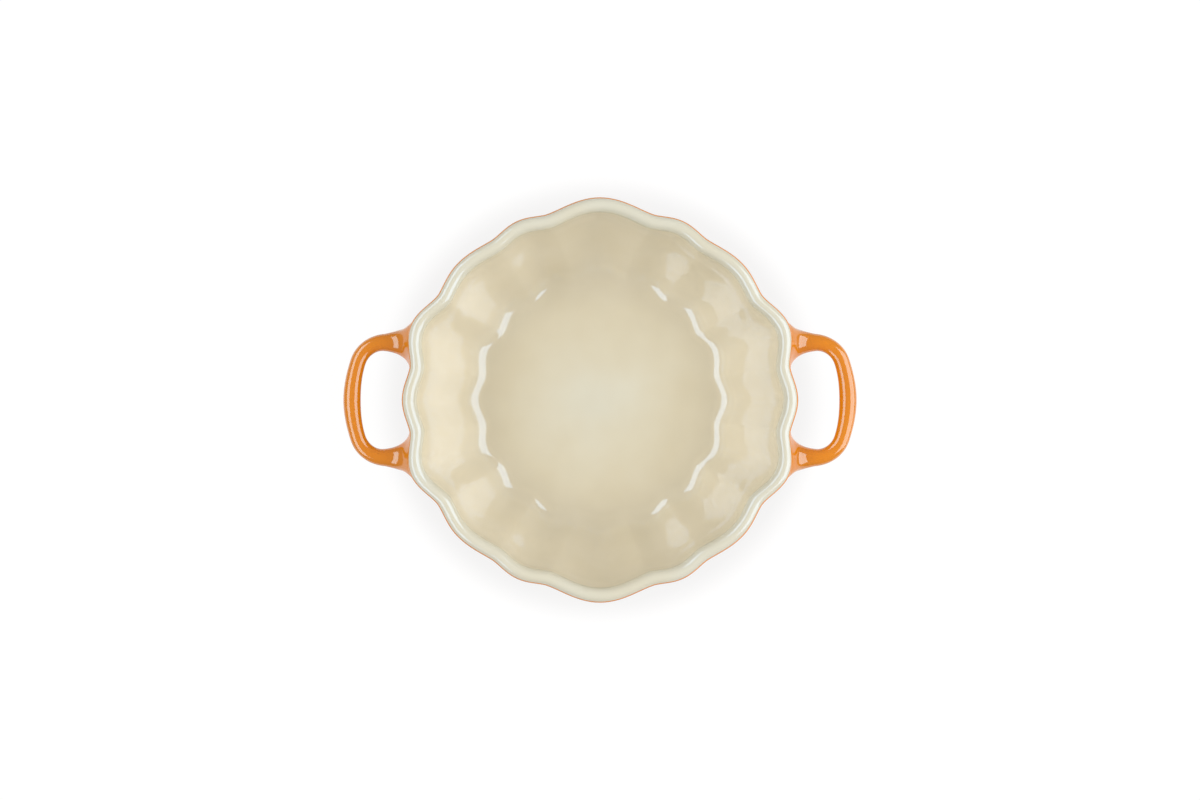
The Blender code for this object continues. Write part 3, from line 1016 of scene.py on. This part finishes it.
@dataclass
class Softbox:
    """A white softbox over the dish, given as the dish sees it, in degrees.

    Attributes:
        name: The lamp's name.
        bearing: Its bearing from the right handle.
        low: How far its upper long edge stands from upright.
        high: How far its lower long edge stands from upright.
        half_length: Angle from its middle to its ends.
        radiance: How bright its face is, where a white page in full light is one.
        distance: Its distance, in metres.
    """

    name: str
    bearing: float
    low: float
    high: float
    half_length: float
    radiance: float
    distance: float = 1.6

    def build(self) -> bpy.types.Object:
        """Hang the softbox so that it faces the dish, with its long edges running front to back."""
        middle = math.radians((self.low + self.high) / 2)
        width = 2.0 * self.distance * math.tan(math.radians((self.high - self.low) / 2))
        length = 2.0 * self.distance * math.cos(middle) * math.tan(math.radians(self.half_length))
        lamp = bpy.data.lights.new(self.name, "AREA")
        lamp.shape = "RECTANGLE"
        lamp.size = length
        lamp.size_y = width
        lamp.energy = WATTS_PER_RADIANCE * self.radiance * width * length
        bearing = math.radians(self.bearing)
        level = math.sin(middle)
        toward = Vector((math.cos(bearing) * level, math.sin(bearing) * level, math.cos(middle)))
        softbox = bpy.data.objects.new(self.name, lamp)
        softbox.location = toward * self.distance
        softbox.rotation_euler = toward.to_track_quat("Z", "Y").to_euler()
        softbox.visible_camera = False
        bpy.context.scene.collection.objects.link(softbox)
        return softbox


@dataclass
class Studio:
    """A white table seen from straight above, between two softboxes.

    Attributes:
        rim_height: Height of the dish's rim.
        camera_above_rim: Height of the camera over the rim.
        photo_width_px: Width of the picture in pixels.
        metres_per_px: Scale of the picture at the rim.
        sensor_width_mm: Width of the camera's sensor.
        table_size: Length of the table's sides.
        table_colour: Colour of the table top.
        painted_shadow_glow: How bright the table is seen inside shadow_start, dimmed there as a painted
            shadow.
        far_glow: How bright it is seen outside shadow_end.
        glow_share: How much of what is seen of the table is its glow.
        shadow_start: Radius at which the glow starts to rise out of the painted shadow.
        shadow_end: Radius at which it has risen.
        fill: Strength of the even light from all round.
        softboxes: The two softboxes.
    """

    rim_height: float
    camera_above_rim: float = 1.2
    photo_width_px: int = 1200
    metres_per_px: float = 0.0004926
    sensor_width_mm: float = 36.0
    table_size: float = 12.0
    table_colour: str = "D2D0CF"
    painted_shadow_glow: float = 0.94
    far_glow: float = 1.06
    glow_share: float = 0.90
    shadow_start: float = 0.103
    shadow_end: float = 0.122
    fill: float = 0.335
    softboxes: tuple[Softbox, ...] = (
        Softbox("softbox_left", 180.0, 26.0, 54.0, 47.0, 3.05),
        Softbox("softbox_right", 0.0, 26.0, 76.0, 43.0, 2.9),
    )

    def table(self) -> None:
        """Lay the white table top.

        It glows for the camera and in the glaze. Close round the dish the glow is turned down by the radius, a
        painted shadow ring, and the table's matt share shows the dish's cast shadow.
        """
        mesh = bmesh.new()
        bmesh.ops.create_grid(mesh, x_segments=1, y_segments=1, size=self.table_size / 2)
        material = empty_material("white_table")
        tree = material.node_tree
        coords = add_node(tree, "ShaderNodeTexCoord").outputs["Object"]
        way = add_node(tree, "ShaderNodeVectorMath", {"operation": "LENGTH"}, {0: coords})
        # The glow is dimmer close round the dish: a painted shadow ring, set by the radius.
        strength = add_node(
            tree,
            "ShaderNodeMapRange",
            {
                "interpolation_type": "SMOOTHSTEP",
                "From Min": self.shadow_start,
                "From Max": self.shadow_end,
                "To Min": self.painted_shadow_glow,
                "To Max": self.far_glow,
            },
            {"Value": way.outputs["Value"]},
        )
        path = add_node(tree, "ShaderNodeLightPath")
        seen = add_node(
            tree,
            "ShaderNodeMath",
            {"operation": "MAXIMUM"},
            {0: path.outputs["Is Camera Ray"], 1: path.outputs["Is Glossy Ray"]},
        )
        share = add_node(
            tree, "ShaderNodeMath", {"operation": "MULTIPLY", 1: self.glow_share}, {0: seen.outputs[0]}
        )
        matt = add_node(tree, "ShaderNodeBsdfDiffuse", {"Color": linear_colour(self.table_colour)})
        glow = add_node(tree, "ShaderNodeEmission", links={"Strength": strength.outputs["Result"]})
        mixed = add_node(
            tree,
            "ShaderNodeMixShader",
            links={0: share.outputs[0], 1: matt.outputs[0], 2: glow.outputs[0]},
        )
        add_node(tree, "ShaderNodeOutputMaterial", links={"Surface": mixed.outputs[0]})
        finished_piece("white_table", mesh, material)

    def surroundings(self) -> None:
        """Set a white backdrop for the camera and a low, even fill for the dish."""
        world = bpy.data.worlds.new("studio")
        world.use_nodes = True
        tree = world.node_tree
        tree.nodes.clear()
        path = add_node(tree, "ShaderNodeLightPath")
        fill = add_node(tree, "ShaderNodeBackground", {"Strength": self.fill})
        white = add_node(tree, "ShaderNodeBackground", {"Strength": 1.0})
        mixed = add_node(
            tree,
            "ShaderNodeMixShader",
            links={0: path.outputs["Is Camera Ray"], 1: fill.outputs[0], 2: white.outputs[0]},
        )
        add_node(tree, "ShaderNodeOutputWorld", links={"Surface": mixed.outputs[0]})
        bpy.context.scene.world = world

    def camera(self) -> None:
        """Hang the camera over the middle of the dish, at the photograph's scale."""
        view = bpy.data.cameras.new("camera")
        view.sensor_width = self.sensor_width_mm
        seen_width = self.photo_width_px * self.metres_per_px
        view.lens = self.sensor_width_mm * self.camera_above_rim / seen_width
        camera = bpy.data.objects.new("camera", view)
        camera.location = (0.0, 0.0, self.rim_height + self.camera_above_rim)
        bpy.context.scene.collection.objects.link(camera)
        bpy.context.scene.camera = camera

    def build(self) -> None:
        """Set up the table, the light and the camera."""
        self.table()
        self.surroundings()
        for softbox in self.softboxes:
            softbox.build()
        self.camera()
        bpy.context.scene.view_settings.view_transform = "Standard"


def place(piece: bpy.types.Object, node: str, slot: Slot) -> None:
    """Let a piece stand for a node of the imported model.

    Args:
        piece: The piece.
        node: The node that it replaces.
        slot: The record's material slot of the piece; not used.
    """
    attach(piece, ROOT_BODY)
    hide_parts(node)
    triangles = sum(len(face.vertices) - 2 for face in piece.data.polygons)
    LOG.info("%s stands for %s: %d triangles", piece.name, node, triangles)


def main() -> None:
    """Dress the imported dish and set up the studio."""
    logging.basicConfig(level=logging.INFO, format="%(message)s")
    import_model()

    # Cream glaze, poured and fired: darker over the first 0.6 mm from the glaze line, then tones of painted
    # light and shade, even, greyer and darker on the rim, lighter and warm down the wall, paler on the middle
    # of the floor. The clear glass on wall and floor shows the lamps as crisp, pale patches.
    cream = GlossGlaze(
        "cream_glaze_fired",
        tones=(
            (0.0, "D1CAB1"),
            (0.6, "DAD6C3"),
            (6.5, "DAD6C3"),
            (9.5, "EADFC6"),
            (70.0, "EADFC6"),
            (85.0, "ECE3C9"),
            (116.0, "E3E0CF"),
        ),
        deep_colour="DCCEAB",
        gloss_tint="BCDCFF",
        roughness=0.04,
        ior=1.85,
        clear_coat=((8.0, 0.0), (12.0, 0.4), (68.0, 0.4), (73.0, 0.0), (79.2, 0.0), (80.2, 0.4)),
    ).material()
    # Orange glaze, dipped and fired: an even, strong orange, a little paler over the first millimetre from
    # the glaze line, with softer highlights than the cream's.
    orange = GlossGlaze(
        "orange_glaze_fired",
        tones=((0.0, "E28C30"), (0.8, "DF8511"), (120.0, "DF8511")),
        deep_colour="D27611",
        gloss_tint="96F3FF",
        roughness=0.10,
        ior=1.6,
    )
    orange_wall = orange.material()
    # The loops were dipped twice: their thicker glass starts two millimetres off the wall, and gives each bar
    # two crisp bands of light.
    orange_loop = replace(
        orange, name="orange_glaze_dipped_twice", clear_coat=((0.0, 0.0), (2.0, 1.0))
    ).material()
    clay = BareStoneware().material()

    section = DishSection()
    bowl = Bowl(section)
    place(bowl.clay(clay), "stoneware_body", Slot.CLAY)
    place(bowl.cream_coat(cream), "cream_glaze", Slot.CREAM)
    place(bowl.orange_coat(orange_wall), "orange_glaze", Slot.ORANGE)
    place(bowl.base_coat(orange_wall), "base_glaze", Slot.ORANGE)
    handle = LoopHandle(section, section.outer_wall())
    place(handle.build("left_loop", math.pi, orange_loop), "left_handle", Slot.ORANGE)
    place(handle.build("right_loop", 0.0, orange_loop), "right_handle", Slot.ORANGE)

    Studio(section.rim_height).build()


if __name__ == "__main__":
    main()
